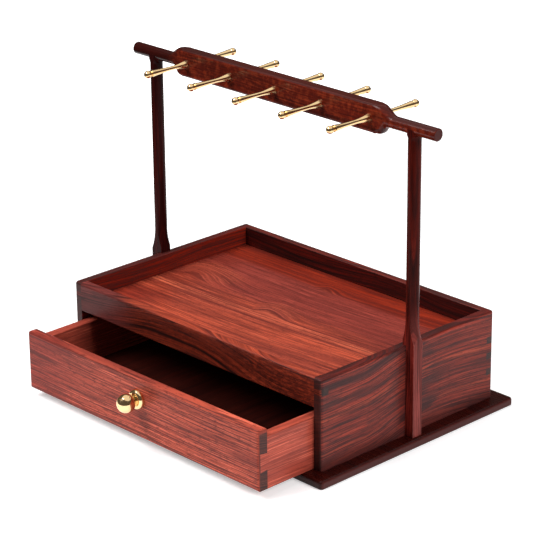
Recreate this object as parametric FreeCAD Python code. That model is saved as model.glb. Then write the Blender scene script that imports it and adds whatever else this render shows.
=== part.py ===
import FreeCAD, Part

# Jewellery stand with a drawer: a dovetailed hardwood case on a plinth plate, with a sunk tray
# on top, a drawer below, and a rail of brass pegs on two posts. Lengths are in millimetres.
# Frame: X runs along the rail, the drawer opens towards -Y, Z is up. The origin is on the
# underside of the plate, midway between the posts. The drawer is modelled partly open.

import math
import os

Vector = FreeCAD.Vector

# ---- Plinth plate ----
PLATE_T = 7.0
PLATE_OVERHANG = 12.0  # how far it stands out all round the case
PLATE_CORNER_R = 2.8
PLATE_TOP_R = 2.6  # rounded upper edge
PLATE_FOOT_R = 1.2  # eased lower edge

# ---- Case ----
CASE_W = 280.0
CASE_D = 190.0
CASE_H = 74.0
WALL_T = 7.5
RIM_R = 2.4  # rounded outer edges of the rim and the corners
RIM_INNER_R = 1.2  # eased edges round the tray, and under the front rail
TRAY_DEPTH = 16.0
TRAY_FLOOR_T = 5.0
TRAY_GROOVE = 3.0  # how far the floor's edges go into the walls
RAIL_LIP = 3.4  # how far the front rail hangs below the tray floor

# ---- Dovetails ----
TAIL_H = 5.6  # at the wide end
BACK_TAILS = 3
TAIL_PITCH = 13.4
TAIL_SLOPE = 1 / 7
TAIL_MARGIN = 0.2  # below the tray floor, to the first tail
RAIL_TAIL_DROP = 10.7  # rim to the middle of the front rail's one tail

# ---- Drawer ----
DRAWER_OPEN = 56.0  # how far it stands out here
SIDE_GAP = 0.6  # running gaps round the drawer
TOP_GAP = 0.5
FOOT_GAP = 0.35
BACK_GAP = 0.4  # left behind the drawer when it is shut
FRONT_T = 9.0
DRAWER_SIDE_T = 8.5
DRAWER_BACK_T = 8.0
SIDE_DROP = 6.6  # the sides are this much lower than the front
FRONT_EASE_R = 1.8  # rounded edges of the drawer front
SIDE_EASE_R = 0.8
BOTTOM_T = 4.0
BOTTOM_RISE = 4.0  # drawer's underside to its bottom panel
BOTTOM_GROOVE = 3.5
LAP_T = 2.0  # wood left in front of the half-blind tails
DRAWER_TAIL_H = 15.2
PANEL_PLAY = 0.2  # room for the floor and the bottom to swell in their grooves

# ---- Posts ----
POST_W = 10.0  # front to back
POST_T = 8.0  # the foot's thickness outside the case
POST_R = 5.1  # the turned length above the case
POST_SET = 1.6  # the turned length's axis, out from the case side
POST_COLLAR = 1.2  # square height above the rim
POST_SCOOP = 19.0  # length over which the square runs out to round
POST_FLARE = 0.8
POST_FLARE_L = 4.0
POST_EASE_R = 0.5
TENON_R = 2.6  # round tenon in the rail
TENON_L = 3.4
FOOT_TENON_W = 6.0
FOOT_TENON_T = 4.0
FOOT_TENON_L = 4.5

# ---- Hanging rail ----
ROD_Z = 251.0  # axis height
ROD_R = 4.9
ROD_FLAT = 0.1  # narrow flats that keep every section of the rail alike
ROD_CHAMFER = 0.6
RAIL_L = 329.5
PADDLE_L = 219.0  # the deep middle length
PADDLE_T = 11.4
PADDLE_RISE = 11.1  # axis to its top and underside
PADDLE_EDGE_R = 2.2
SHOULDER_TOP_L = 13.5  # the long upper shoulder
SHOULDER_FOOT_L = 6.5  # the short lower shoulder
NOSE_L = 5.5  # the paddle's last length, where its edges start to round over
NOSE_RUN = 11.0  # length over which they become fully round
STATIONS = 9

# ---- Pegs ----
PEGS = 5
PEG_PITCH = 50.0
PEG_BALL_OUT = 39.6  # rail face to the middle of the ball
PEG_BALL_R = 3.1
PEG_BASE_R = 3.4
PEG_BASE_L = 0.9
PEG_WAIST_R = 1.7
PEG_WAIST_OUT = 17.0
PEG_LIP_R = 2.7
PEG_LIP_L = 1.2
PEG_GROOVE_R = 2.0
PEG_SHANK_R = 1.5
PEG_SHANK_L = 4.4

# ---- Knob ----
KNOB_DROP = 16.6  # top of the drawer front to the knob's axis
KNOB_OUT = 11.6  # drawer front to the middle of the ball
KNOB_R = 7.5
KNOB_NECK_R = 4.2
COLLAR_R = 8.0
COLLAR_CROWN_R = 5.6
COLLAR_T = 4.3
COLLAR_EDGE_T = 1.6
KNOB_SCREW_R = 1.9
KNOB_SCREW_GRIP = 6.0  # thread inside the knob
KNOB_HEAD_R = 3.8
KNOB_HEAD_T = 2.4

# ---- Wood screws ----
SCREW_R = 1.4
SCREW_HEAD_R = 2.8
SCREW_SINK = 0.3  # heads below the surface
PLATE_SCREW_L = 19.0
PLATE_SCREW_SPAN_Y = 130.0
PLATE_SCREW_SPAN_X = 140.0
POST_SCREW_L = 12.5
POST_SCREW_RISE = 18.0  # plate to the lower screw
POST_SCREW_PITCH = 24.0

GLUE_GAP = 0.05  # round glued or threaded fits

# ---- Levels and faces that follow ----
CASE_TOP = PLATE_T + CASE_H
CASE_X = CASE_W / 2
CASE_Y = CASE_D / 2
INNER_X = CASE_X - WALL_T
INNER_Y = CASE_Y - WALL_T
FLOOR_TOP = CASE_TOP - TRAY_DEPTH
FLOOR_FOOT = FLOOR_TOP - TRAY_FLOOR_T
BAY_TOP = FLOOR_FOOT - RAIL_LIP

DRAWER_X = INNER_X - SIDE_GAP
DRAWER_FOOT = PLATE_T + FOOT_GAP
DRAWER_TOP = BAY_TOP - TOP_GAP
DRAWER_SIDE_TOP = DRAWER_TOP - SIDE_DROP
DRAWER_Y0 = -CASE_Y - DRAWER_OPEN
DRAWER_Y1 = INNER_Y - BACK_GAP - DRAWER_OPEN
DRAWER_FRONT_BACK = DRAWER_Y0 + FRONT_T
DRAWER_BACK_FRONT = DRAWER_Y1 - DRAWER_BACK_T
BOTTOM_Z = DRAWER_FOOT + BOTTOM_RISE
KNOB_Z = DRAWER_TOP - KNOB_DROP

POST_X = CASE_X + POST_SET
ROUND_TOOL = 1.0  # overshoot of cutting tools


def block(x0, x1, y0, y1, z0, z1):
    """A square-cornered piece between two corners."""
    return Part.makeBox(x1 - x0, y1 - y0, z1 - z0, Vector(x0, y0, z0))


def turned(points, centre, axis):
    """A turned piece: (distance along the axis, radius) points and arcs, spun about the axis."""
    along = Vector(axis).normalize()
    out = Vector(0, 0, 1) if abs(along.z) < 0.5 else Vector(1, 0, 0)

    def place(point):
        return centre + along * point[0] + out * point[1]

    edges = []
    last = points[0]
    for item in points[1:]:
        if len(item) == 2:
            edges.append(Part.makeLine(place(last), place(item)))
            last = item
        else:
            middle, end = item[1], item[2]
            edges.append(Part.Arc(place(last), place(middle), place(end)).toShape())
            last = end
    if last != points[0]:
        edges.append(Part.makeLine(place(last), place(points[0])))
    face = Part.Face(Part.Wire(edges))
    return face.revolve(centre, along, 360)


def edges_where(shape, test):
    """The edges whose two ends both pass the test."""
    return [e for e in shape.Edges if all(test(v.Point) for v in e.Vertexes)]


def near(a, b):
    return abs(a - b) < 1e-4


def mirrored(shape):
    """The left-hand twin of a right-hand piece."""
    return shape.mirror(Vector(0, 0, 0), Vector(1, 0, 0))


def both(shape):
    return [shape, mirrored(shape)]


def tail_through_side(x_root, x_end, y0, y1, z_mid, height):
    """A tail that widens along X and passes through the thickness of a side."""
    wide = height / 2
    root = wide - TAIL_SLOPE * abs(x_end - x_root)
    corners = [
        Vector(x_root, y0, z_mid - root),
        Vector(x_end, y0, z_mid - wide),
        Vector(x_end, y0, z_mid + wide),
        Vector(x_root, y0, z_mid + root),
    ]
    face = Part.Face(Part.makePolygon(corners + corners[:1]))
    return face.extrude(Vector(0, y1 - y0, 0))


def tail_into_front(x0, x1, y_root, y_end, z_mid, height):
    """A tail that widens along -Y and is let into the back of the drawer front."""
    wide = height / 2
    root = wide - TAIL_SLOPE * abs(y_end - y_root)
    corners = [
        Vector(x0, y_root, z_mid - root),
        Vector(x0, y_end, z_mid - wide),
        Vector(x0, y_end, z_mid + wide),
        Vector(x0, y_root, z_mid + root),
    ]
    face = Part.Face(Part.makePolygon(corners + corners[:1]))
    return face.extrude(Vector(x1 - x0, 0, 0))


def wood_screw(length, head_at, axis, shank_r=SCREW_R, head_r=SCREW_HEAD_R):
    """A countersunk wood screw: the axis points from the head to the point."""
    cone = head_r - shank_r
    tip = 2 * shank_r
    profile = [
        (0, 0),
        (0, head_r),
        (cone, shank_r),
        (length - tip, shank_r),
        (length, 0),
    ]
    return turned(profile, head_at, axis)


def screw_hole(length, head_at, axis):
    """The countersunk hole that a wood screw sits in, open at the head end."""
    along = Vector(axis).normalize()
    start = head_at - along * (SCREW_SINK + ROUND_TOOL)
    grow = GLUE_GAP
    bore = Part.makeCylinder(
        SCREW_R + grow, length + grow + SCREW_SINK + ROUND_TOOL, start, along
    )
    mouth = Part.makeCylinder(SCREW_HEAD_R + grow, SCREW_SINK + ROUND_TOOL, start, along)
    cone_l = SCREW_HEAD_R - SCREW_R
    cone = Part.makeCone(SCREW_HEAD_R + grow, SCREW_R + grow, cone_l, head_at, along)
    return bore.fuse([mouth, cone])


# ---- Where the fasteners go ----
PLATE_SCREW_HEADS = [
    Vector(sx * (CASE_X - WALL_T / 2), sy * PLATE_SCREW_SPAN_Y / 2, SCREW_SINK)
    for sx in (-1, 1)
    for sy in (-1, 1)
] + [Vector(sx * PLATE_SCREW_SPAN_X / 2, CASE_Y - WALL_T / 2, SCREW_SINK) for sx in (-1, 1)]

POST_SCREW_HEADS = [
    Vector(INNER_X + SCREW_SINK, 0, PLATE_T + POST_SCREW_RISE + k * POST_SCREW_PITCH)
    for k in range(2)
]

UP = Vector(0, 0, 1)
RIGHT = Vector(1, 0, 0)
BACKWARD = Vector(0, 1, 0)


def plate_screw_holes():
    return [screw_hole(PLATE_SCREW_L, head, UP) for head in PLATE_SCREW_HEADS]


def post_screw_holes():
    return [screw_hole(POST_SCREW_L, head, RIGHT) for head in POST_SCREW_HEADS]


# ---- Case ----
def case_frame():
    """The four walls in one, with the eased edges that run round their corners."""
    outer = block(-CASE_X, CASE_X, -CASE_Y, CASE_Y, PLATE_T, CASE_TOP)
    inner = block(-INNER_X, INNER_X, -INNER_Y, INNER_Y, PLATE_T, CASE_TOP)
    frame = outer.cut(inner)
    outside = lambda p: near(abs(p.x), CASE_X) or near(abs(p.y), CASE_Y)
    outer_rim = edges_where(frame, lambda p: near(p.z, CASE_TOP) and outside(p))
    corners = [
        e
        for e in edges_where(frame, lambda p: near(abs(p.x), CASE_X) and near(abs(p.y), CASE_Y))
        if not near(e.Vertexes[0].Z, e.Vertexes[-1].Z)
    ]
    frame = frame.makeFillet(RIM_R, outer_rim + corners)
    inside = lambda p: near(abs(p.x), INNER_X) and near(abs(p.y), INNER_Y)
    inner_rim = edges_where(frame, lambda p: near(p.z, CASE_TOP) and inside(p))
    return frame.makeFillet(RIM_INNER_R, inner_rim)


def back_tails():
    """The back panel's tails at its right-hand end, from the tray floor down."""
    top = FLOOR_FOOT - TAIL_MARGIN - TAIL_H / 2
    return [
        tail_through_side(INNER_X, CASE_X, INNER_Y, CASE_Y, top - n * TAIL_PITCH, TAIL_H)
        for n in range(BACK_TAILS)
    ]


def rail_tail():
    z = CASE_TOP - RAIL_TAIL_DROP
    return tail_through_side(INNER_X, CASE_X, -CASE_Y, -INNER_Y, z, TAIL_H)


def floor_space():
    """The tray floor and the room that its grooves leave it."""
    reach_x = INNER_X + TRAY_GROOVE
    reach_y = INNER_Y + TRAY_GROOVE
    return block(-reach_x, reach_x, -reach_y, reach_y, FLOOR_FOOT, FLOOR_TOP)


def tray_floor():
    reach_x = INNER_X + TRAY_GROOVE - PANEL_PLAY
    reach_y = INNER_Y + TRAY_GROOVE - PANEL_PLAY
    return block(-reach_x, reach_x, -reach_y, reach_y, FLOOR_FOOT, FLOOR_TOP)


def side_panel(frame):
    region = block(INNER_X, CASE_X, -CASE_Y, CASE_Y, PLATE_T, CASE_TOP)
    tools = back_tails() + [rail_tail(), floor_space()] + plate_screw_holes() + post_screw_holes()
    return frame.common(region).cut(tools)


def back_panel(frame):
    region = block(-INNER_X, INNER_X, INNER_Y, CASE_Y, PLATE_T, CASE_TOP)
    tails = [t for tail in back_tails() for t in both(tail)]
    whole = region.fuse(tails)
    return frame.common(whole).cut([floor_space()] + plate_screw_holes())


def front_rail(frame):
    region = block(-INNER_X, INNER_X, -CASE_Y, -INNER_Y, BAY_TOP, CASE_TOP)
    rail = frame.common(region)
    lower_edge = edges_where(rail, lambda p: near(p.z, BAY_TOP) and near(p.y, -CASE_Y))
    rail = rail.makeFillet(RIM_INNER_R, lower_edge)
    tails = frame.common(rail_tail().fuse(mirrored(rail_tail())))
    return rail.fuse(tails).cut(floor_space()).removeSplitter()


def base_plate():
    reach_x = CASE_X + PLATE_OVERHANG
    reach_y = CASE_Y + PLATE_OVERHANG
    plate = block(-reach_x, reach_x, -reach_y, reach_y, 0, PLATE_T)
    corners = [e for e in plate.Edges if not near(e.Vertexes[0].Z, e.Vertexes[-1].Z)]
    plate = plate.makeFillet(PLATE_CORNER_R, corners)
    plate = plate.makeFillet(PLATE_TOP_R, edges_where(plate, lambda p: near(p.z, PLATE_T)))
    plate = plate.makeFillet(PLATE_FOOT_R, edges_where(plate, lambda p: near(p.z, 0)))
    mortise = foot_tenon(GLUE_GAP)
    return plate.cut(both(mortise) + plate_screw_holes())


# ---- Posts ----
def foot_tenon(grow=0.0):
    """The square tenon under a post, or its mortise when it is grown."""
    mid = CASE_X + POST_T / 2
    return block(
        mid - FOOT_TENON_T / 2 - grow,
        mid + FOOT_TENON_T / 2 + grow,
        -FOOT_TENON_W / 2 - grow,
        FOOT_TENON_W / 2 + grow,
        PLATE_T - FOOT_TENON_L - grow,
        PLATE_T,
    )


def post():
    """A square foot on the case side that laps over the rim and runs out to a round post."""
    outer = CASE_X + POST_T
    foot = block(CASE_X, outer, -POST_W / 2, POST_W / 2, PLATE_T, CASE_TOP)
    head = block(POST_X - POST_R, outer, -POST_W / 2, POST_W / 2, CASE_TOP, ROD_Z)
    blank = foot.fuse(head).removeSplitter()
    long_edges = edges_where(blank, lambda p: near(p.x, outer))
    blank = blank.makeFillet(POST_EASE_R, [e for e in long_edges if e.Length > CASE_H])

    corner_r = math.hypot(outer - POST_X, POST_W / 2)
    scoop_z = CASE_TOP + POST_COLLAR
    round_z = scoop_z + POST_SCOOP
    spread = corner_r - POST_R
    scoop_r = (POST_SCOOP**2 + spread**2) / (2 * spread)
    half = math.asin(POST_SCOOP / scoop_r) / 2
    scoop_mid = (
        round_z - scoop_r * math.sin(half),
        POST_R + scoop_r * (1 - math.cos(half)),
    )
    flare_z = ROD_Z - ROD_R - POST_FLARE_L
    flare_mid = (flare_z + 0.6 * POST_FLARE_L, POST_R + 0.3 * POST_FLARE)
    profile = [
        (PLATE_T, 0),
        (PLATE_T, corner_r),
        (scoop_z, corner_r),
        ("arc", scoop_mid, (round_z, POST_R)),
        (flare_z, POST_R),
        ("arc", flare_mid, (flare_z + POST_FLARE_L, POST_R + POST_FLARE)),
        (ROD_Z, POST_R + POST_FLARE),
        (ROD_Z, 0),
    ]
    lathe = turned(profile, Vector(POST_X, 0, 0), UP)
    rod = Part.makeCylinder(ROD_R + GLUE_GAP, RAIL_L, Vector(-RAIL_L / 2, 0, ROD_Z), RIGHT)
    shaped = blank.common(lathe).cut(rod)
    tenon_z = ROD_Z - ROD_R
    tenon = Part.makeCylinder(TENON_R, TENON_L + 1, Vector(POST_X, 0, tenon_z - 1), UP)
    shaped = shaped.fuse([tenon, foot_tenon()])
    return shaped.cut(post_screw_holes()).removeSplitter()


# ---- Hanging rail ----
def rail_section(x, top, foot, half_t, edge_r):
    """A rounded oblong across the rail at x: top and foot are heights above and below its axis."""
    y = half_t
    k = edge_r * (1 - math.cos(math.pi / 4))

    def at(v, w):
        return Vector(x, v, ROD_Z + w)

    def arc(a, b, c):
        return Part.Arc(a, b, c).toShape()

    edges = [
        Part.makeLine(at(-y + edge_r, top), at(y - edge_r, top)),
        arc(at(y - edge_r, top), at(y - k, top - k), at(y, top - edge_r)),
        Part.makeLine(at(y, top - edge_r), at(y, -foot + edge_r)),
        arc(at(y, -foot + edge_r), at(y - k, -foot + k), at(y - edge_r, -foot)),
        Part.makeLine(at(y - edge_r, -foot), at(-y + edge_r, -foot)),
        arc(at(-y + edge_r, -foot), at(-y + k, -foot + k), at(-y, -foot + edge_r)),
        Part.makeLine(at(-y, -foot + edge_r), at(-y, top - edge_r)),
        arc(at(-y, top - edge_r), at(-y + k, top - k), at(-y + edge_r, top)),
    ]
    return Part.Wire(edges)


def blend(x, start, length):
    """0 before the start and 1 past its end, with a smooth S between."""
    share = min(max((x - start) / length, 0.0), 1.0)
    return 0.5 - 0.5 * math.cos(math.pi * share)


def rail_section_at(x):
    """The rail's own section at a distance x from its middle."""
    upper = blend(x, PADDLE_L / 2, SHOULDER_TOP_L)
    lower = blend(x, PADDLE_L / 2, SHOULDER_FOOT_L)
    nose = blend(x, PADDLE_L / 2 - NOSE_L, NOSE_RUN)
    half_t = PADDLE_T / 2 + (ROD_R - PADDLE_T / 2) * upper
    return rail_section(
        x,
        PADDLE_RISE + (ROD_R - PADDLE_RISE) * upper,
        PADDLE_RISE + (ROD_R - PADDLE_RISE) * lower,
        half_t,
        PADDLE_EDGE_R + (half_t - ROD_FLAT / 2 - PADDLE_EDGE_R) * nose,
    )


def hanging_rail():
    """One stick: a deep flat paddle between two round ends, bored for the pegs and posts."""
    start = PADDLE_L / 2 - NOSE_L
    rod_start = PADDLE_L / 2 + SHOULDER_TOP_L
    step = (rod_start - start) / STATIONS
    shoulder = Part.makeLoft(
        [rail_section_at(start + k * step) for k in range(STATIONS + 1)], True, False
    )
    rod_end = RAIL_L / 2 - ROD_CHAMFER
    rod = Part.Face(rail_section_at(rod_start)).extrude(Vector(rod_end - rod_start, 0, 0))
    small_r = ROD_R - ROD_CHAMFER
    tip = Part.makeLoft(
        [
            rail_section_at(rod_end),
            rail_section(RAIL_L / 2, small_r, small_r, small_r, small_r - ROD_FLAT / 2),
        ],
        True,
        True,
    )
    right_end = shoulder.fuse([rod, tip])
    paddle = Part.Face(rail_section_at(start).translated(Vector(-2 * start, 0, 0)))
    paddle = paddle.extrude(Vector(2 * start, 0, 0))
    rail = paddle.fuse(both(right_end))
    holes = []
    for x in peg_places():
        for face in (-1, 1):
            mouth = Vector(x, face * (PADDLE_T / 2 + ROUND_TOOL), ROD_Z)
            depth = PEG_SHANK_L + 2 * GLUE_GAP + ROUND_TOOL
            holes.append(
                Part.makeCylinder(PEG_SHANK_R + GLUE_GAP, depth, mouth, BACKWARD * -face)
            )
    socket_z = ROD_Z - ROD_R - ROUND_TOOL
    socket_l = TENON_L + 2 * GLUE_GAP + ROUND_TOOL
    socket = Part.makeCylinder(TENON_R + GLUE_GAP, socket_l, Vector(POST_X, 0, socket_z), UP)
    return rail.cut(holes + both(socket)).removeSplitter()


def peg_places():
    return [(k - (PEGS - 1) / 2) * PEG_PITCH for k in range(PEGS)]


def peg(x, face):
    """A turned brass peg: a trumpet base, a slim waist, a lip and a ball, on a shank."""
    lip_end = PEG_BALL_OUT - PEG_BALL_R - 0.2
    lip_start = lip_end - PEG_LIP_L
    groove_end = PEG_BALL_OUT - math.sqrt(PEG_BALL_R**2 - PEG_GROOVE_R**2)
    trumpet_mid = (PEG_WAIST_OUT * 0.38, PEG_WAIST_R + (PEG_BASE_R - PEG_WAIST_R) * 0.3)
    stem_mid = (
        (PEG_WAIST_OUT + lip_start) / 2,
        PEG_WAIST_R + (PEG_LIP_R - PEG_WAIST_R) * 0.33,
    )
    ball_mid = (PEG_BALL_OUT, PEG_BALL_R)
    profile = [
        (-PEG_SHANK_L, 0),
        (-PEG_SHANK_L, PEG_SHANK_R),
        (0, PEG_SHANK_R),
        (0, PEG_BASE_R),
        (PEG_BASE_L, PEG_BASE_R),
        ("arc", trumpet_mid, (PEG_WAIST_OUT, PEG_WAIST_R)),
        ("arc", stem_mid, (lip_start, PEG_LIP_R)),
        (lip_end, PEG_LIP_R),
        (lip_end, PEG_GROOVE_R),
        (groove_end, PEG_GROOVE_R),
        ("arc", ball_mid, (PEG_BALL_OUT + PEG_BALL_R, 0)),
    ]
    return turned(profile, Vector(x, face * PADDLE_T / 2, ROD_Z), BACKWARD * face)


# ---- Drawer ----
def drawer_tail():
    """The right side's tail in the drawer front."""
    z = (DRAWER_FOOT + DRAWER_SIDE_TOP) / 2 + LAP_T / 2
    return tail_into_front(
        DRAWER_X - DRAWER_SIDE_T,
        DRAWER_X,
        DRAWER_FRONT_BACK,
        DRAWER_Y0 + LAP_T,
        z,
        DRAWER_TAIL_H,
    )


def drawer_back_tails():
    """The drawer back's tails through the right side, above the bottom panel."""
    low = BOTTOM_Z + BOTTOM_T
    span = DRAWER_SIDE_TOP - low
    inner = DRAWER_X - DRAWER_SIDE_T
    return [
        tail_through_side(inner, DRAWER_X, DRAWER_BACK_FRONT, DRAWER_Y1, low + span * s, TAIL_H)
        for s in (0.3, 0.7)
    ]


def bottom_space(play=0.0):
    """The bottom panel's place in its grooves, less the play."""
    x = DRAWER_X - DRAWER_SIDE_T + BOTTOM_GROOVE - play
    y0 = DRAWER_FRONT_BACK - BOTTOM_GROOVE + play
    y1 = DRAWER_BACK_FRONT + BOTTOM_GROOVE - play
    return block(-x, x, y0, y1, BOTTOM_Z, BOTTOM_Z + BOTTOM_T)


def knob_bore():
    start = Vector(0, DRAWER_Y0 - ROUND_TOOL, KNOB_Z)
    return Part.makeCylinder(
        KNOB_SCREW_R + 2 * GLUE_GAP, FRONT_T + 2 * ROUND_TOOL, start, BACKWARD
    )


def drawer_front():
    board = block(-DRAWER_X, DRAWER_X, DRAWER_Y0, DRAWER_FRONT_BACK, DRAWER_FOOT, DRAWER_TOP)
    face_edges = edges_where(board, lambda p: near(p.y, DRAWER_Y0))
    top_edges = edges_where(board, lambda p: near(p.z, DRAWER_TOP))
    top_edges = [e for e in top_edges if max(v.Y for v in e.Vertexes) > DRAWER_Y0 + FRONT_T / 2]
    board = board.makeFillet(FRONT_EASE_R, face_edges + top_edges)
    return board.cut(both(drawer_tail()) + [bottom_space(), knob_bore()])


def drawer_side():
    inner = DRAWER_X - DRAWER_SIDE_T
    board = block(inner, DRAWER_X, DRAWER_FRONT_BACK, DRAWER_Y1, DRAWER_FOOT, DRAWER_SIDE_TOP)
    top_edges = [
        e for e in edges_where(board, lambda p: near(p.z, DRAWER_SIDE_TOP)) if e.Length > FRONT_T
    ]
    board = board.makeFillet(SIDE_EASE_R, top_edges)
    return board.fuse(drawer_tail()).cut(drawer_back_tails() + [bottom_space()]).removeSplitter()


def drawer_back():
    inner = DRAWER_X - DRAWER_SIDE_T
    board = block(-inner, inner, DRAWER_BACK_FRONT, DRAWER_Y1, DRAWER_FOOT, DRAWER_SIDE_TOP)
    tails = [t for tail in drawer_back_tails() for t in both(tail)]
    return board.fuse(tails).cut(bottom_space()).removeSplitter()


# ---- Knob ----
def knob():
    """A brass ball on a short neck, tapped for its screw."""
    ball_start = KNOB_OUT - math.sqrt(KNOB_R**2 - KNOB_NECK_R**2)
    bore_r = KNOB_SCREW_R + GLUE_GAP
    bore_end = COLLAR_T + KNOB_SCREW_GRIP + 2 * GLUE_GAP
    profile = [
        (COLLAR_T, bore_r),
        (COLLAR_T, KNOB_NECK_R),
        (ball_start, KNOB_NECK_R),
        ("arc", (KNOB_OUT, KNOB_R), (KNOB_OUT + KNOB_R, 0)),
        (bore_end, 0),
        (bore_end, bore_r),
    ]
    return turned(profile, Vector(0, DRAWER_Y0, KNOB_Z), BACKWARD * -1)


def knob_collar():
    """The stepped brass rose between the knob and the drawer front."""
    bore_r = KNOB_SCREW_R + 2 * GLUE_GAP
    crown_mid = (
        COLLAR_T - (COLLAR_T - COLLAR_EDGE_T) * 0.32,
        COLLAR_CROWN_R + (COLLAR_R - COLLAR_CROWN_R) * 0.66,
    )
    profile = [
        (0, bore_r),
        (0, COLLAR_R),
        (COLLAR_EDGE_T, COLLAR_R),
        ("arc", crown_mid, (COLLAR_T, COLLAR_CROWN_R)),
        (COLLAR_T, bore_r),
    ]
    return turned(profile, Vector(0, DRAWER_Y0, KNOB_Z), BACKWARD * -1)


def knob_screw():
    """The pan-head screw from inside the drawer, through the front and the rose."""
    reach = FRONT_T + COLLAR_T + KNOB_SCREW_GRIP
    dome_mid = (-0.75 * KNOB_HEAD_T, 0.8 * KNOB_HEAD_R)
    profile = [
        (reach, 0),
        (reach, KNOB_SCREW_R),
        (0, KNOB_SCREW_R),
        (0, KNOB_HEAD_R),
        (-0.3 * KNOB_HEAD_T, KNOB_HEAD_R),
        ("arc", dome_mid, (-KNOB_HEAD_T, 0.4 * KNOB_HEAD_R)),
        (-KNOB_HEAD_T, 0),
    ]
    return turned(profile, Vector(0, DRAWER_FRONT_BACK, KNOB_Z), BACKWARD * -1)


# ---- Screws that hold the case and posts ----
def plate_screws():
    return Part.makeCompound([wood_screw(PLATE_SCREW_L, head, UP) for head in PLATE_SCREW_HEADS])


def post_screws():
    right = [wood_screw(POST_SCREW_L, head, RIGHT) for head in POST_SCREW_HEADS]
    return Part.makeCompound([screw for one in right for screw in both(one)])


def pieces():
    """Every piece of the stand by name."""
    frame = case_frame()
    side = side_panel(frame)
    right_post = post()
    drawer_right = drawer_side()
    named = {
        "base_plate": base_plate(),
        "side_panel_right": side,
        "side_panel_left": mirrored(side),
        "back_panel": back_panel(frame),
        "front_rail": front_rail(frame),
        "tray_floor": tray_floor(),
        "post_right": right_post,
        "post_left": mirrored(right_post),
        "hanging_rail": hanging_rail(),
        "drawer_front": drawer_front(),
        "drawer_side_right": drawer_right,
        "drawer_side_left": mirrored(drawer_right),
        "drawer_back": drawer_back(),
        "drawer_bottom": bottom_space(PANEL_PLAY),
        "knob": knob(),
        "knob_collar": knob_collar(),
        "knob_screw": knob_screw(),
        "plate_screws": plate_screws(),
        "post_screws": post_screws(),
    }
    for k, x in enumerate(peg_places()):
        named[f"peg_front_{k + 1}"] = peg(x, -1)
        named[f"peg_back_{k + 1}"] = peg(x, 1)
    return named


os.makedirs("parts", exist_ok=True)
for name, shape in pieces().items():
    if not shape.isValid():
        print("not valid:", name)
    print(name, len(shape.Solids), round(shape.Volume))
    shape.exportStep(f"parts/{name}.step")
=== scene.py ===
"""A jewellery stand with a drawer: a dovetailed hardwood case on a plinth plate, a sunk tray in
its top, and a rail of turned brass pegs on two posts. Lengths are in metres, or in mm where a
name or a comment says so. Places on a board are in mm, and colours are linear."""

import math

import bpy
from mathutils import Matrix, Vector

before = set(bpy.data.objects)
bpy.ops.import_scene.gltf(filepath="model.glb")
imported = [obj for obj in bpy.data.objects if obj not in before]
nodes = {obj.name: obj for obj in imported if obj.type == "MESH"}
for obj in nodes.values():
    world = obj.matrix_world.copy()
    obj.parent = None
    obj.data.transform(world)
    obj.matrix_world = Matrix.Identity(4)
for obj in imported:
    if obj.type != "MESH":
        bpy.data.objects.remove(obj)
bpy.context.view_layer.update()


# ---- Camera ----
# A long lens stands off the stand's right front corner, well above the hanging rail,
# and looks down on the tray and into the open drawer.
CAMERA_PLACE = Vector((1.23883, -1.19715, 0.77407))
CAMERA_TURN = math.radians(46.34)
CAMERA_DOWN = math.radians(21.22)
CAMERA_TILT = math.radians(-0.61)
LENS_MM = 158.59
SENSOR_MM = 36.0
SIGHT = 50.0  # how far the camera sees

lens = bpy.data.cameras.new("camera")
lens.lens = LENS_MM
lens.sensor_width = SENSOR_MM
lens.clip_end = SIGHT
camera = bpy.data.objects.new("camera", lens)
bpy.context.scene.collection.objects.link(camera)
camera.matrix_world = (
    Matrix.Translation(CAMERA_PLACE)
    @ Matrix.Rotation(CAMERA_TURN, 4, "Z")
    @ Matrix.Rotation(math.pi / 2 - CAMERA_DOWN, 4, "X")
    @ Matrix.Rotation(CAMERA_TILT, 4, "Z")
)
bpy.context.scene.camera = camera


# ---- Studio ----
# The stand sits on white paper in a white room, under three soft boxes: over the drawer,
# beside the right post and overhead. A low dark curtain round the paper is seen in the brass
# and the lacquer alone, and draws the brass's dark bands.
WHITE = (1.0, 1.0, 1.0, 1.0)
FLOOR_REACH = 6.0
PAPER = (0.86, 0.86, 0.86, 1.0)
PAPER_FAR = (0.10, 0.10, 0.10, 1.0)  # far off, the paper throws little light on the stand
PAPER_GLOW = (1.0, 0.42)  # makes the far and the near paper look white
LIT_REACH = (0.34, 0.58)  # the bright part of the paper fades between these
LIT_BEHIND = 0.35  # it reaches farther behind and to the right, by 1 over this
ROOM = (0.13, 0.13, 0.135, 1.0)  # the light that the room throws on the stand
CURTAIN = (0.11, 0.10, 0.09, 1.0)
CURTAIN_NEAR = 0.46  # how far the curtain hangs from the stand in front and on the left
CURTAIN_POINTS = 48
CURTAIN_FOOT = 0.001
CURTAIN_TOP = 0.20  # its top would stand this high at the stand itself,
CURTAIN_CLIMB = 0.84  # and rises by this for each metre away
LAMPS = {
    # name: (place, aim, side, watts, seen in reflections)
    "lamp_over_drawer": ((-0.60, -1.15, 1.45), (0.0, -0.05, 0.08), 0.9, 31.0, True),
    "lamp_beside_post": ((1.60, 0.10, 1.00), (0.1, 0.0, 0.10), 0.8, 20.0, False),
    "lamp_overhead": ((-0.10, 0.25, 1.70), (0.0, 0.0, 0.12), 1.0, 11.0, False),
}


def node(tree, kind, inputs=None, **settings):
    """Adds one node to a finish: inputs fills its sockets and settings its own options."""
    made = tree.nodes.new("ShaderNode" + kind)
    for name, value in settings.items():
        setattr(made, name, value)
    for key, value in (inputs or {}).items():
        if isinstance(value, bpy.types.NodeSocket):
            tree.links.new(value, made.inputs[key])
        else:
            made.inputs[key].default_value = value
    return made


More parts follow.
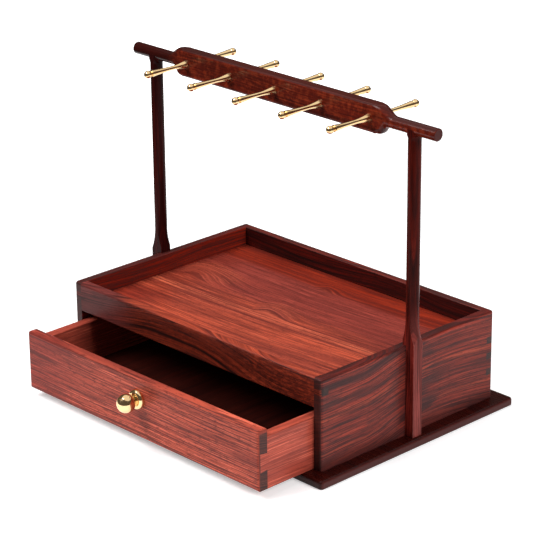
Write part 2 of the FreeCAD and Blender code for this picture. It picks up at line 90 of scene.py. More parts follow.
def math_node(tree, operation, a, b=0.0, c=0.0, clamp=False):
    made = node(tree, "Math", {0: a, 1: b, 2: c}, operation=operation, use_clamp=clamp)
    return made.outputs[0]


def blend_colours(tree, share, first, second, how="MIX"):
    """The first colour where the share is 0, and the second where it is 1."""
    made = node(tree, "Mix", {0: share, 6: first, 7: second}, data_type="RGBA", blend_type=how)
    return made.outputs[2]


def smooth_step(tree, value, start, full):
    """0 up to the start and 1 from full on, with a soft change between them."""
    made = node(
        tree,
        "MapRange",
        {0: value, 1: start, 2: full},
        interpolation_type="SMOOTHSTEP",
        clamp=True,
    )
    return made.outputs[0]


def new_finish(name):
    """An empty material: (material, its tree, its output node)."""
    finish = bpy.data.materials.new(name)
    finish.use_nodes = True
    tree = finish.node_tree
    tree.nodes.clear()
    return finish, tree, tree.nodes.new("ShaderNodeOutputMaterial")


def stage_piece(name, points, faces, finish):
    """A piece of the studio, which is no part of the stand."""
    mesh = bpy.data.meshes.new(name)
    mesh.from_pydata(points, [], faces)
    mesh.materials.append(finish)
    piece = bpy.data.objects.new(name, mesh)
    bpy.context.scene.collection.objects.link(piece)
    return piece


def background_rays(tree):
    """1 for what the camera, polished metal or glass sees, and 0 for what lights the stand."""
    path = node(tree, "LightPath").outputs
    mirrored = math_node(tree, "MAXIMUM", path["Is Glossy Ray"], path["Is Transmission Ray"])
    return math_node(tree, "MAXIMUM", path["Is Camera Ray"], mirrored)


def lay_paper():
    finish, tree, out = new_finish("paper")
    seen = background_rays(tree)
    place = node(tree, "SeparateXYZ", {0: node(tree, "TexCoord").outputs["Object"]})
    sides = {}
    for n, axis in enumerate("XY"):
        ahead = math_node(tree, "MULTIPLY", place.outputs[axis], -1.0)
        behind = math_node(tree, "MULTIPLY", place.outputs[axis], LIT_BEHIND)
        sides[n] = math_node(tree, "MAXIMUM", ahead, behind)
    reach = node(tree, "CombineXYZ", sides)
    away = node(tree, "VectorMath", {0: reach.outputs[0]}, operation="LENGTH")
    lit_end, dark_start = LIT_REACH
    lit = smooth_step(tree, away.outputs["Value"], dark_start, lit_end)
    bright = math_node(tree, "MAXIMUM", lit, seen)
    matt = node(tree, "BsdfDiffuse", {"Color": blend_colours(tree, bright, PAPER_FAR, PAPER)})
    glow_far, glow_near = PAPER_GLOW
    level = math_node(tree, "MULTIPLY_ADD", lit, glow_near - glow_far, glow_far)
    level = math_node(tree, "MULTIPLY", seen, level)
    glow = node(tree, "Emission", {"Color": WHITE, "Strength": level})
    both = node(tree, "AddShader", {0: matt.outputs[0], 1: glow.outputs[0]})
    tree.links.new(both.outputs[0], out.inputs["Surface"])
    corners = [(x, y, 0.0) for x, y in ((-1, -1), (1, -1), (1, 1), (-1, 1))]
    points = [Vector(corner) * FLOOR_REACH for corner in corners]
    stage_piece("studio_floor", points, [(0, 1, 2, 3)], finish)


def hang_curtain():
    """Its plan follows the bright part of the paper, as dark cards stand round polished brass."""
    low, high = [], []
    for n in range(CURTAIN_POINTS):
        turn = 2 * math.pi * n / CURTAIN_POINTS
        x, y = math.cos(turn), math.sin(turn)
        away = CURTAIN_NEAR / math.hypot(max(-x, LIT_BEHIND * x), max(-y, LIT_BEHIND * y))
        low.append((x * away, y * away, CURTAIN_FOOT))
        high.append((x * away, y * away, CURTAIN_TOP + CURTAIN_CLIMB * away))
    faces = []
    for n in range(CURTAIN_POINTS):
        after = (n + 1) % CURTAIN_POINTS
        faces.append((n, after, after + CURTAIN_POINTS, n + CURTAIN_POINTS))
    finish, tree, out = new_finish("curtain")
    cloth = node(tree, "Emission", {"Color": CURTAIN, "Strength": 1.0})
    tree.links.new(cloth.outputs[0], out.inputs["Surface"])
    curtain = stage_piece("studio_curtain", low + high, faces, finish)
    curtain.visible_camera = False
    curtain.visible_diffuse = False
    curtain.visible_shadow = False
    curtain.visible_transmission = False


def hang_lamp(name, place, aim, side, watts, seen):
    light = bpy.data.lights.new(name, "AREA")
    light.shape = "SQUARE"
    light.size = side
    light.energy = watts
    lamp = bpy.data.objects.new(name, light)
    bpy.context.scene.collection.objects.link(lamp)
    lamp.location = place
    lamp.rotation_euler = (Vector(aim) - Vector(place)).to_track_quat("-Z", "Y").to_euler()
    lamp.visible_glossy = seen


def paint_room():
    """A room that is white to look at and lights the stand dimly."""
    room = bpy.data.worlds.new("room")
    room.use_nodes = True
    tree = room.node_tree
    colour = blend_colours(tree, background_rays(tree), ROOM, WHITE)
    tree.links.new(colour, tree.nodes["Background"].inputs["Color"])
    bpy.context.scene.world = room


lay_paper()
hang_curtain()
for name, how in LAMPS.items():
    hang_lamp(name, *how)
paint_room()
bpy.context.scene.view_settings.view_transform = "Standard"


# ---- Plinth plate ----
# A flat board of dark glossy hardwood with rounded edges, screwed up into the case from
# below. Its grain runs along the drawer front. It is the first board to be finished, so the
# timber that all the boards are cut from is grown here.
BEND_MM = (160.0, 80.0)  # the board wanders through its log over this length and width
STREAKS = {
    # (length in mm, width in mm, detail, roughness, shift)
    "drift": (150.0, 16.0, 1.0, 0.5, 3.0),
    "streak": (120.0, 2.4, 2.0, 0.55, 7.0),
    "vein": (260.0, 6.0, 2.0, 0.6, 17.0),
    "ring": (190.0, 3.0, 2.0, 0.6, 53.0),
    "line": (70.0, 0.9, 2.0, 0.6, 29.0),
    "glint": (60.0, 1.0, 2.0, 0.6, 61.0),
    "pore": (6.0, 1.2, 2.0, 0.6, 41.0),
}
SHIFT_PARTS = (1.0, 0.7, 1.3)  # a shift's share along each axis
FADES = {
    # where each kind of streak starts and where it is full
    "drift": (0.36, 0.64),
    "streak": (0.46, 0.60),
    "glint": (0.53, 0.62),
    "line": (0.50, 0.57),
    "pore": (0.54, 0.64),
}
THREAD = 0.030  # rings and veins are threads where their noise is within this of a half
LAYERS = (
    # (streak, the input with its share, its colour), from the bottom up
    ("drift", "Drift", "Deep"),
    ("streak", "Streaks", "Deep"),
    ("glint", "Glints", "Bright"),
    ("ring", "Rings", "Vein"),
    ("vein", "Veins", "Vein"),
    ("line", "Lines", "Vein"),
    ("pore", "Pores", "Vein"),
)
GLINT_GAIN = (1.45, 1.70, 1.75, 1)  # a glint is the pale colour times this
END_TURN = (0.6, 0.9)  # end grain starts and is full where a face turns this far to the grain
END_SHARE = 0.85
PORE_ROUGH = 0.16
END_ROUGH = 0.14
PORE_DEPTH = 0.35  # of a line's depth
BUMP_STRENGTH = 0.25
BUMP_DISTANCE = 0.00025
MM_PER_M = 1000.0
GRAIN_TURNS = {
    # turns each axis of the stand into the timber's own X
    "X": (0.0, 0.0, 0.0),
    "Y": (0.0, 0.0, -math.pi / 2),
    "Z": (0.0, math.pi / 2, 0.0),
}
PLATE_WOOD = {
    "Pale": (0.042, 0.004, 0.002, 1),
    "Deep": (0.022, 0.002, 0.0015, 1),
    "Vein": (0.010, 0.003, 0.003, 1),
    "End": (0.070, 0.015, 0.013, 1),
    "Veins": 0.6,
    "Pores": 0.1,
}


def new_group(name, sockets_in, sockets_out):
    """An empty node group with the named sockets: (group, its input node, its output node)."""
    group = bpy.data.node_groups.new(name, "ShaderNodeTree")
    for label, kind, value in sockets_in:
        made = group.interface.new_socket(name=label, in_out="INPUT", socket_type=kind)
        if value is not None:
            made.default_value = value
    for label, kind in sockets_out:
        group.interface.new_socket(name=label, in_out="OUTPUT", socket_type=kind)
    return group, group.nodes.new("NodeGroupInput"), group.nodes.new("NodeGroupOutput")


def stretched_noise(tree, place, along_mm, across_mm, detail=2.0, roughness=0.5, shift=0.0):
    """Noise with streaks of this length and width along the grain."""
    size = node(
        tree,
        "Mapping",
        {
            "Vector": place,
            "Location": tuple(shift * part for part in SHIFT_PARTS),
            "Scale": (1 / along_mm, 1 / across_mm, 1 / across_mm),
        },
    )
    return node(
        tree,
        "TexNoise",
        {
            "Vector": size.outputs[0],
            "Scale": 1.0,
            "Detail": detail,
            "Roughness": roughness,
        },
    )


def near(tree, value, middle, reach):
    """1 where the value is at the middle, and 0 from this reach on."""
    off = math_node(tree, "ABSOLUTE", math_node(tree, "SUBTRACT", value, middle))
    return smooth_step(tree, off, reach, 0.0)


def vector_length(tree, parts):
    """The length of a vector from its parts, given by number."""
    made = node(tree, "CombineXYZ", parts)
    return node(tree, "VectorMath", {0: made.outputs[0]}, operation="LENGTH").outputs["Value"]


def grow_timber():
    """Red hardwood: growth rings round a pith, dark veins and streaks, and fine lines of pores.
    Pith is where the log's middle lies, Wander how far the board strays in it, Lift raises the
    streaks, Dense packs them closer, and Drift to Pores are each layer's share."""
    group, given, result = new_group(
        "timber",
        [
            ("Place mm", "NodeSocketVector", None),
            ("Cut", "NodeSocketVector", None),
            ("Lift", "NodeSocketFloat", 0.0),
            ("Pale", "NodeSocketColor", (0.5, 0.1, 0.05, 1)),
            ("Deep", "NodeSocketColor", (0.2, 0.04, 0.02, 1)),
            ("Vein", "NodeSocketColor", (0.03, 0.01, 0.01, 1)),
            ("End", "NodeSocketColor", (0.03, 0.015, 0.015, 1)),
            ("Pith Y mm", "NodeSocketFloat", -250.0),
            ("Pith Z mm", "NodeSocketFloat", -400.0),
            ("Wander mm", "NodeSocketFloat", 8.0),
            ("Dense", "NodeSocketFloat", 1.0),
            ("Drift", "NodeSocketFloat", 0.6),
            ("Streaks", "NodeSocketFloat", 0.5),
            ("Veins", "NodeSocketFloat", 0.4),
            ("Rings", "NodeSocketFloat", 0.3),
            ("Lines", "NodeSocketFloat", 0.45),
            ("Glints", "NodeSocketFloat", 0.4),
            ("Pores", "NodeSocketFloat", 0.3),
        ],
        [
            ("Colour", "NodeSocketColor"),
            ("Roughness", "NodeSocketFloat"),
            ("Height", "NodeSocketFloat"),
        ],
    )
    g = given.outputs
    place = g["Place mm"]

    # The board wanders through the log, so its streaks bend.
    bend = stretched_noise(group, place, *BEND_MM, detail=1.0)
    centred = node(
        group, "VectorMath", {0: bend.outputs["Color"], 1: (0.5, 0.5, 0.5)}, operation="SUBTRACT"
    )
    shifted = node(
        group, "VectorMath", {0: centred.outputs[0], 3: g["Wander mm"]}, operation="SCALE"
    )
    bent = node(group, "VectorMath", {0: place, 1: shifted.outputs[0]}, operation="ADD")
    parts = node(group, "SeparateXYZ", {0: bent.outputs[0]})
    side = math_node(group, "SUBTRACT", parts.outputs["Y"], g["Pith Y mm"])
    up = math_node(group, "SUBTRACT", parts.outputs["Z"], g["Pith Z mm"])
    from_pith = vector_length(group, {0: 0.0, 1: side, 2: up})
    lifted = math_node(group, "SUBTRACT", from_pith, g["Lift"])
    packed = math_node(group, "MULTIPLY", lifted, g["Dense"])
    along_rings = node(group, "CombineXYZ", {0: parts.outputs["X"], 1: packed, 2: 0.0})

    noise = {}
    for name, (along_mm, across_mm, detail, roughness, shift) in STREAKS.items():
        source = place if name == "pore" else along_rings.outputs[0]
        made = stretched_noise(group, source, along_mm, across_mm, detail, roughness, shift)
        noise[name] = made.outputs["Fac"]
    masks = {name: smooth_step(group, noise[name], *span) for name, span in FADES.items()}
    for name in ("ring", "vein"):
        masks[name] = near(group, noise[name], 0.5, THREAD)

    colours = {
        "Deep": g["Deep"],
        "Vein": g["Vein"],
        "Bright": blend_colours(group, 1.0, g["Pale"], GLINT_GAIN, how="MULTIPLY"),
    }
    base = g["Pale"]
    for name, share, colour in LAYERS:
        amount = math_node(group, "MULTIPLY", masks[name], g[share], clamp=True)
        base = blend_colours(group, amount, base, colours[colour])

    facing_end = node(group, "SeparateXYZ", {0: g["Cut"]}).outputs["X"]
    end_grain = smooth_step(group, math_node(group, "ABSOLUTE", facing_end), *END_TURN)
    base = blend_colours(group, math_node(group, "MULTIPLY", end_grain, END_SHARE), base, g["End"])

    rough = math_node(group, "MULTIPLY", noise["pore"], PORE_ROUGH)
    rough = math_node(group, "MULTIPLY_ADD", end_grain, END_ROUGH, rough)
    height = math_node(group, "MULTIPLY_ADD", noise["pore"], PORE_DEPTH, noise["line"])
    height = math_node(group, "MULTIPLY", height, -1.0)
    group.links.new(base, result.inputs["Colour"])
    group.links.new(rough, result.inputs["Roughness"])
    group.links.new(height, result.inputs["Height"])
    return group


TIMBER = grow_timber()


def timber_finish(name, grain, values, from_log=(0.0, 0.0, 0.0), specular=0.25, rough=0.26):
    """A lacquered board: its grain runs along an axis, and from_log says where in the log it
    was, in mm. Gives (material, its tree, its timber node)."""
    finish, tree, out = new_finish(name)
    where = node(tree, "TexCoord")
    turn = GRAIN_TURNS[grain]
    place = node(
        tree,
        "Mapping",
        {
            "Vector": where.outputs["Object"],
            "Location": from_log,
            "Rotation": turn,
            "Scale": (MM_PER_M, MM_PER_M, MM_PER_M),
        },
    )
    cut = node(
        tree,
        "Mapping",
        {"Vector": where.outputs["Normal"], "Rotation": turn},
        vector_type="VECTOR",
    )
    inputs = {"Place mm": place.outputs[0], "Cut": cut.outputs[0], **values}
    figure = node(tree, "Group", inputs, node_tree=TIMBER)
    bump = node(
        tree,
        "Bump",
        {
            "Strength": BUMP_STRENGTH,
            "Distance": BUMP_DISTANCE,
            "Height": figure.outputs["Height"],
        },
    )
    lacquer = node(
        tree,
        "BsdfPrincipled",
        {
            "Base Color": figure.outputs["Colour"],
            "Roughness": math_node(tree, "ADD", figure.outputs["Roughness"], rough),
            "Normal": bump.outputs[0],
            "Specular IOR Level": specular,
        },
    )
    tree.links.new(lacquer.outputs[0], out.inputs["Surface"])
    return finish, tree, figure


def dress(name, finish):
    """Gives a CAD piece its finish on every slot."""
    for slot in nodes[name].material_slots:
        slot.material = finish


plate_finish, _, _ = timber_finish(
    "plate_wood", "X", PLATE_WOOD, from_log=(0.0, 40.0, 10.0), specular=0.18, rough=0.20
)
dress("base_plate", plate_finish)


# ---- Case sides and back ----
# Hardwood boards on edge with rounded rims, dovetailed at the back corners. The sides' grain
# runs front to back in red and grey-black streaks, and the back's tails show their dark ends
# there. Painted shade makes the back nearly black inside the tray, darkens the boards' top
# faces and darkens the right side down to the plate.
PANEL_END = (0.028, 0.008, 0.007, 1)
TAIL_END = (0.030, 0.026, 0.025, 1)
SIDE_WOOD = {
    "Pale": (0.310, 0.040, 0.024, 1),
    "Deep": (0.105, 0.017, 0.014, 1),
    "Vein": (0.030, 0.013, 0.013, 1),
    "End": PANEL_END,
    "Wander mm": 14.0,
    "Veins": 0.7,
    "Streaks": 0.7,
    "Rings": 0.4,
    "Lines": 0.6,
    "Glints": 0.35,
    "Pores": 0.4,
}
LEFT_WOOD = dict(
    SIDE_WOOD,
    Pale=(0.240, 0.016, 0.006, 1),
    Deep=(0.130, 0.009, 0.005, 1),
    Veins=0.3,
)
BACK_WOOD = dict(SIDE_WOOD, End=TAIL_END)
SIDE_CLIMBS = (((-50.0, 5.0), 8.0), ((35.0, 120.0), -6.0))  # span from front to back, climb
SIDE_SEAMS = ((48.0, 4.0), (20.0, 1.6))  # the pale bands' height and half width
SEAM_TONES = {"Pale": (0.390, 0.060, 0.031, 1), "Deep": (0.240, 0.036, 0.022, 1)}
CLOUD_NOISE = (70.0, 8.0, 2.0, 0.6, 9.0)  # dark clouds: length, width, detail, roughness, shift
CLOUD_FADE = (0.52, 0.62)
CLOUDS_END = (62.0, 20.0)  # the clouds fade in from the back to the middle of the side
SIDE_FOOT_SHADE = (22.0, 8.0)  # painted shade: the side darkens down to the plate
# The dark clouds and the painted shade down by the plate take these colours.
CLOUD_AND_PAINTED_SHADE_TONES = {"Pale": (0.130, 0.026, 0.021, 1), "Deep": (0.040, 0.013, 0.013, 1)}
UP, FRONT, RIGHT = (0.0, 0.0, 1.0), (0.0, -1.0, 0.0), (1.0, 0.0, 0.0)
RIM_TURN = (0.35, 0.8)  # the rim starts and is full where a face turns this far up
# Painted shade: the top faces of the right side, the left side and the back are darker.
SIDE_RIM_PAINTED_SHADE = {"Pale": (0.130, 0.017, 0.013, 1), "Deep": (0.060, 0.010, 0.008, 1)}
LEFT_RIM_PAINTED_SHADE = {"Pale": (0.115, 0.014, 0.011, 1), "Deep": (0.060, 0.010, 0.008, 1)}
BACK_RIM_PAINTED_SHADE = {"Pale": (0.190, 0.026, 0.017, 1), "Deep": (0.090, 0.014, 0.010, 1)}
# Painted shade: the back's inside face, which looks to the front, is nearly black.
BACK_INSIDE_TURN = (0.3, 0.8)
BACK_INSIDE_PAINTED_SHADE = {
    "Pale": (0.080, 0.005, 0.003, 1),
    "Deep": (0.014, 0.003, 0.003, 1),
    "Vein": (0.008, 0.003, 0.003, 1),
}


def place_mm(tree):
    """The X, Y and Z of a place on the stand at rest, in mm."""
    where = node(tree, "TexCoord").outputs["Object"]
    scaled = node(tree, "VectorMath", {0: where, 3: MM_PER_M}, operation="SCALE")
    return node(tree, "SeparateXYZ", {0: scaled.outputs[0]}).outputs


def sort_faces():
    """Picks out a board's faces that look one way."""
    group, given, result = new_group(
        "board_faces",
        [
            ("Normal", "NodeSocketVector", None),
            ("Towards", "NodeSocketVector", UP),
            ("Start", "NodeSocketFloat", RIM_TURN[0]),
            ("Full", "NodeSocketFloat", RIM_TURN[1]),
        ],
        [("Mask", "NodeSocketFloat")],
    )
    g = given.outputs
    turned = node(
        group, "VectorMath", {0: g["Normal"], 1: g["Towards"]}, operation="DOT_PRODUCT"
    )
    mask = smooth_step(group, turned.outputs["Value"], g["Start"], g["Full"])
    group.links.new(mask, result.inputs["Mask"])
    return group


def draw_band():
    """A band along a board: its middle and half width are measured across the streaks."""
    group, given, result = new_group(
        "board_band",
        [
            ("Level", "NodeSocketFloat", 0.0),
            ("Middle", "NodeSocketFloat", 0.0),
            ("Half width", "NodeSocketFloat", 1.0),
        ],
        [("Mask", "NodeSocketFloat")],
    )
    g = given.outputs
    group.links.new(near(group, g["Level"], g["Middle"], g["Half width"]), result.inputs["Mask"])
    return group


def make_climb():
    """A climb of the streaks between two places along a board."""
    group, given, result = new_group(
        "streak_climb",
        [
            ("Along", "NodeSocketFloat", 0.0),
            ("Start", "NodeSocketFloat", 0.0),
            ("Full", "NodeSocketFloat", 1.0),
            ("Climb", "NodeSocketFloat", 0.0),
        ],
        [("Lift", "NodeSocketFloat")],
    )
    g = given.outputs
    share = smooth_step(group, g["Along"], g["Start"], g["Full"])
    lift = math_node(group, "MULTIPLY", share, g["Climb"])
    group.links.new(lift, result.inputs["Lift"])
    return group


BOARD_FACES = sort_faces()
BOARD_BAND = draw_band()
STREAK_CLIMB = make_climb()


def facing(tree, towards, turn):
    """1 on the faces that look one way: turn says where this starts and where it is full."""
    normal = node(tree, "TexCoord").outputs["Normal"]
    inputs = {"Normal": normal, "Towards": towards, "Start": turn[0], "Full": turn[1]}
    return node(tree, "Group", inputs, node_tree=BOARD_FACES).outputs["Mask"]


def band(tree, level, middle, half_width):
    inputs = {"Level": level, "Middle": middle, "Half width": half_width}
    return node(tree, "Group", inputs, node_tree=BOARD_BAND).outputs["Mask"]


def overlap(tree, first, second):
    """Where both masks are 1."""
    return math_node(tree, "MULTIPLY", first, second)


def lift_streaks(tree, figure, along, climbs):
    """Raises a board's streaks by two climbs, each over its own span. Gives the lift."""
    parts = []
    for (start, full), climb in climbs:
        inputs = {"Along": along, "Start": start, "Full": full, "Climb": climb}
        parts.append(node(tree, "Group", inputs, node_tree=STREAK_CLIMB).outputs["Lift"])
    lift = math_node(tree, "ADD", *parts)
    tree.links.new(lift, figure.inputs["Lift"])
    return lift


def tone(tree, figure, mask, colours):
    """Turns a board's colours into these where the mask is 1."""
    for key, colour in colours.items():
        socket = figure.inputs[key]
        plain = socket.links[0].from_socket if socket.links else tuple(socket.default_value)
        tree.links.new(blend_colours(tree, mask, plain, colour), socket)


def paint_top_shade(tree, figure, colours):
    """Paints shade on a board's top faces, in these darker colours."""
    tone(tree, figure, facing(tree, UP, RIM_TURN), colours)


side_finish, tree, figure = timber_finish(
    "side_wood", "Y", SIDE_WOOD, from_log=(30.0, 0.0, 5.0), specular=0.12
)
place = place_mm(tree)
lift = lift_streaks(tree, figure, place["Y"], SIDE_CLIMBS)
level = math_node(tree, "SUBTRACT", place["Z"], lift)
for middle, reach in SIDE_SEAMS:
    tone(tree, figure, band(tree, level, middle, reach), SEAM_TONES)
clouds = node(tree, "CombineXYZ", {0: place["Y"], 1: level, 2: 0.0})
clouds = stretched_noise(tree, clouds.outputs[0], *CLOUD_NOISE).outputs["Fac"]
clouds = smooth_step(tree, clouds, *CLOUD_FADE)
clouds = overlap(tree, clouds, smooth_step(tree, place["Y"], *CLOUDS_END))
# Painted shade darkens the side down to the plate; the dark clouds share its colours.
foot = smooth_step(tree, place["Z"], *SIDE_FOOT_SHADE)
tone(tree, figure, math_node(tree, "MAXIMUM", clouds, foot), CLOUD_AND_PAINTED_SHADE_TONES)
# Painted shade on the top faces.
paint_top_shade(tree, figure, SIDE_RIM_PAINTED_SHADE)
dress("side_panel_right", side_finish)

left_finish, tree, figure = timber_finish(
    "side_wood_left", "Y", LEFT_WOOD, from_log=(-310.0, 20.0, 25.0)
)
# Painted shade on the top faces.
paint_top_shade(tree, figure, LEFT_RIM_PAINTED_SHADE)
dress("side_panel_left", left_finish)

back_finish, tree, figure = timber_finish(
    "back_wood", "X", BACK_WOOD, from_log=(120.0, 9.0, -14.0), specular=0.15
)
# Painted shade on the back's inside face.
tone(tree, figure, facing(tree, FRONT, BACK_INSIDE_TURN), BACK_INSIDE_PAINTED_SHADE)
# Painted shade on the top faces.
paint_top_shade(tree, figure, BACK_RIM_PAINTED_SHADE)
dress("back_panel", back_finish)


# ---- Front rail ----
# The hardwood board over the drawer, held by one dovetail in each side. Its figure is wild:
# orange patches between dark curling veins. Its top faces turn orange from near the left end
# on, and its left end carries a painted mauve sheen.
FRONT_RAIL_WOOD = {
    "Pale": (0.170, 0.020, 0.009, 1),
    "Deep": (0.050, 0.008, 0.006, 1),
    "Vein": (0.014, 0.005, 0.005, 1),
    "End": TAIL_END,
    "Wander mm": 30.0,
    "Veins": 0.8,
}
FRONT_RAIL_CLIMBS = (((0.0, 95.0), -18.0), ((-40.0, -150.0), -16.0))  # span along it, climb
DARK_VEIN = (66.0, 2.4)  # height and half width
ORANGE_BAND = (57.5, 5.0)
ORANGE_BAND_SHARE = 0.7
PATCH_NOISE = (0.0055, 0.0018, 3.0, 0.7)  # length and width in m, detail, roughness
PATCH_FADE = (0.49, 0.56)
WILD_END = (52.0, 66.0)  # the patches grow stronger towards the right end,
WILD_SHARE = (0.6, 0.4)  # by the first of these over the second
ORANGE_TONES = {"Pale": (0.280, 0.036, 0.015, 1), "Deep": (0.150, 0.017, 0.008, 1)}
DARK_VEIN_TONES = {"Pale": (0.020, 0.005, 0.004, 1), "Deep": (0.012, 0.004, 0.004, 1)}
# Painted sheen: the left end turns mauve over this span.
MAUVE_SHEEN_END = (-60.0, -100.0)
PAINTED_MAUVE_SHEEN = {"Pale": (0.200, 0.036, 0.030, 1), "Deep": (0.100, 0.022, 0.020, 1)}
FRONT_RIM_TURN = (0.4, 0.9)
FRONT_RIM_END = (-95.0, -65.0)  # the orange rim starts here
FRONT_RIM = {
    "Pale": (0.440, 0.064, 0.028, 1),
    "Deep": (0.240, 0.036, 0.020, 1),
    "Vein": (0.100, 0.016, 0.012, 1),
}

front_rail_finish, tree, figure = timber_finish(
    "apron_wood", "X", FRONT_RAIL_WOOD, from_log=(300.0, 30.0, -30.0), specular=0.12
)
where = node(tree, "TexCoord")
place = place_mm(tree)
lift = lift_streaks(tree, figure, place["X"], FRONT_RAIL_CLIMBS)
level = math_node(tree, "SUBTRACT", place["Z"], lift)
patches = stretched_noise(tree, where.outputs["Object"], *PATCH_NOISE).outputs["Fac"]
patches = smooth_step(tree, patches, *PATCH_FADE)
wild = math_node(tree, "MULTIPLY_ADD", smooth_step(tree, place["X"], *WILD_END), *WILD_SHARE)
streak = math_node(tree, "MULTIPLY", band(tree, level, *ORANGE_BAND), ORANGE_BAND_SHARE)
orange = math_node(tree, "MAXIMUM", overlap(tree, patches, wild), streak)
rim = facing(tree, UP, FRONT_RIM_TURN)
rim = overlap(tree, rim, smooth_step(tree, place["X"], *FRONT_RIM_END))
tone(tree, figure, orange, ORANGE_TONES)
tone(tree, figure, band(tree, level, *DARK_VEIN), DARK_VEIN_TONES)
# Painted mauve sheen at the left end.
tone(tree, figure, smooth_step(tree, place["X"], *MAUVE_SHEEN_END), PAINTED_MAUVE_SHEEN)
tone(tree, figure, rim, FRONT_RIM)
dress("front_rail", front_rail_finish)


# ---- Tray floor ----
# A wide hardwood board let into grooves in the case, bright orange-red. Its streaks run along
# the stand, sweep back towards the right-hand end and curl round the eyes of old branches.
TRAY_WOOD = {
    "Pale": (0.560, 0.086, 0.040, 1),
    "Deep": (0.230, 0.034, 0.022, 1),
    "Vein": (0.090, 0.013, 0.010, 1),
    "Pith Y mm": -400.0,
    "Pith Z mm": 0.0,
    "Wander mm": 5.0,
    "Dense": 0.85,
    "Veins": 0.5,
    "Streaks": 0.6,
    "Rings": 0.4,
    "Lines": 0.55,
    "Pores": 0.4,
}
TRAY_END = 133.0  # from the middle
TRAY_SWEEP = 13.0  # how far back the streaks sweep at the right-hand end
SWEEP_POWER = 2.0
EYES = (
    # (X, Y, reach, how far the streaks rise round it)
    (-116.0, 22.0, 26.0, 14.0),
    (-12.0, 3.0, 18.0, 9.0),
    (-12.0, 66.0, 12.0, 7.0),
)
EYE_TAIL = -0.4  # an eye reaches farther to its right, by 1 over this
EYE_FADE = (0.05, 0.5)
EYE_TONES = {"Pale": (0.480, 0.082, 0.045, 1), "Deep": (0.180, 0.025, 0.018, 1)}
QUIET = (-8.0, 12.0)  # the rear half is plainer and darker
QUIET_TONES = {"Pale": (0.330, 0.048, 0.032, 1), "Deep": (0.200, 0.029, 0.022, 1)}
RIGHT_END = (50.0, 130.0)
RIGHT_END_REAR = (-22.0, -8.0)
RIGHT_END_TONES = {"Pale": (0.260, 0.038, 0.026, 1)}
# Painted shade along the back wall: the tray turns darker and deeper red from here back.
REAR_SHADE = (56.0, 64.0)
REAR_PAINTED_SHADE = {"Pale": (0.300, 0.026, 0.009, 1), "Deep": (0.120, 0.010, 0.005, 1)}
PALE_SEAM = (-17.0, 6.5)  # how far back it lies, and its half width
PALE_SEAM_TONES = {"Pale": (0.760, 0.160, 0.078, 1), "Deep": (0.500, 0.080, 0.042, 1)}
DARK_LINES = ((-11.6, 1.4), (-17.2, 1.0), (-23.0, 1.6))  # within the pale seam
DARK_LINE_TONES = {"Pale": (0.240, 0.036, 0.024, 1), "Deep": (0.160, 0.024, 0.018, 1)}
CORNER_LEFT = (-70.0, -112.0)
CORNER_FRONT = (-28.0, -46.0)
CORNER_TONES = {"Pale": (0.330, 0.036, 0.018, 1)}
LEFT_END = (-80.0, -120.0)
LEFT_END_TONES = {"Deep": (0.150, 0.018, 0.010, 1)}

tray_finish, tree, figure = timber_finish("tray_wood", "X", TRAY_WOOD)
place = place_mm(tree)
run = node(tree, "MapRange", {0: place["X"], 1: -TRAY_END, 2: TRAY_END}, clamp=True).outputs[0]
lift = math_node(tree, "MULTIPLY", math_node(tree, "POWER", run, SWEEP_POWER), TRAY_SWEEP)
curls = 0.0
for x, y, reach, rise in EYES:
    left = math_node(tree, "SUBTRACT", x, place["X"])
    along = math_node(tree, "MAXIMUM", left, math_node(tree, "MULTIPLY", left, EYE_TAIL))
    back = math_node(tree, "SUBTRACT", place["Y"], y)
    curl = smooth_step(tree, vector_length(tree, {0: along, 1: back}), reach, 0.0)
    lift = math_node(tree, "MULTIPLY_ADD", curl, rise, lift)
    curls = math_node(tree, "MAXIMUM", smooth_step(tree, curl, *EYE_FADE), curls)
tree.links.new(lift, figure.inputs["Lift"])
level = math_node(tree, "SUBTRACT", place["Y"], lift)
tone(tree, figure, smooth_step(tree, level, *QUIET), QUIET_TONES)
tone(tree, figure, curls, EYE_TONES)
right_end = smooth_step(tree, place["X"], *RIGHT_END)
right_end = overlap(tree, right_end, smooth_step(tree, level, *RIGHT_END_REAR))
tone(tree, figure, right_end, RIGHT_END_TONES)
# Painted shade along the back wall.
tone(tree, figure, smooth_step(tree, place["Y"], *REAR_SHADE), REAR_PAINTED_SHADE)
tone(tree, figure, band(tree, level, *PALE_SEAM), PALE_SEAM_TONES)
for middle, reach in DARK_LINES:
    tone(tree, figure, band(tree, level, middle, reach), DARK_LINE_TONES)
corner = smooth_step(tree, place["X"], *CORNER_LEFT)
corner = overlap(tree, corner, smooth_step(tree, level, *CORNER_FRONT))
tone(tree, figure, corner, CORNER_TONES)
tone(tree, figure, smooth_step(tree, place["X"], *LEFT_END), LEFT_END_TONES)
dress("tray_floor", tray_finish)


# ---- Posts and hanging rail ----
# Slim dark hardwood sticks: the posts square where screws hold them to the case and round
# above it, with redder feet, and the rail laid across their tops. The rail is deep and flat
# in the middle to take the pegs, and mottled under its lacquer. The right post's foot has a
# painted sheen on its outer faces, and the far post and the rail's top carry painted shade.
POST_WOOD = {
    "Pale": (0.088, 0.006, 0.003, 1),
    "Deep": (0.025, 0.003, 0.002, 1),
    "Vein": (0.012, 0.003, 0.003, 1),
    "End": (0.030, 0.006, 0.005, 1),
    "Veins": 0.7,
}
# Painted shade: the far post is a darker copy of the near post's wood.
FAR_POST_WOOD_PAINTED_SHADE = dict(
    POST_WOOD,
    Pale=(0.045, 0.004, 0.003, 1),
    Deep=(0.020, 0.003, 0.003, 1),
)
FOOT_TOP = (120.0, 70.0)  # the post turns lighter and redder from here down
FOOT_TONES = {"Pale": (0.250, 0.024, 0.016, 1), "Deep": (0.130, 0.014, 0.010, 1)}
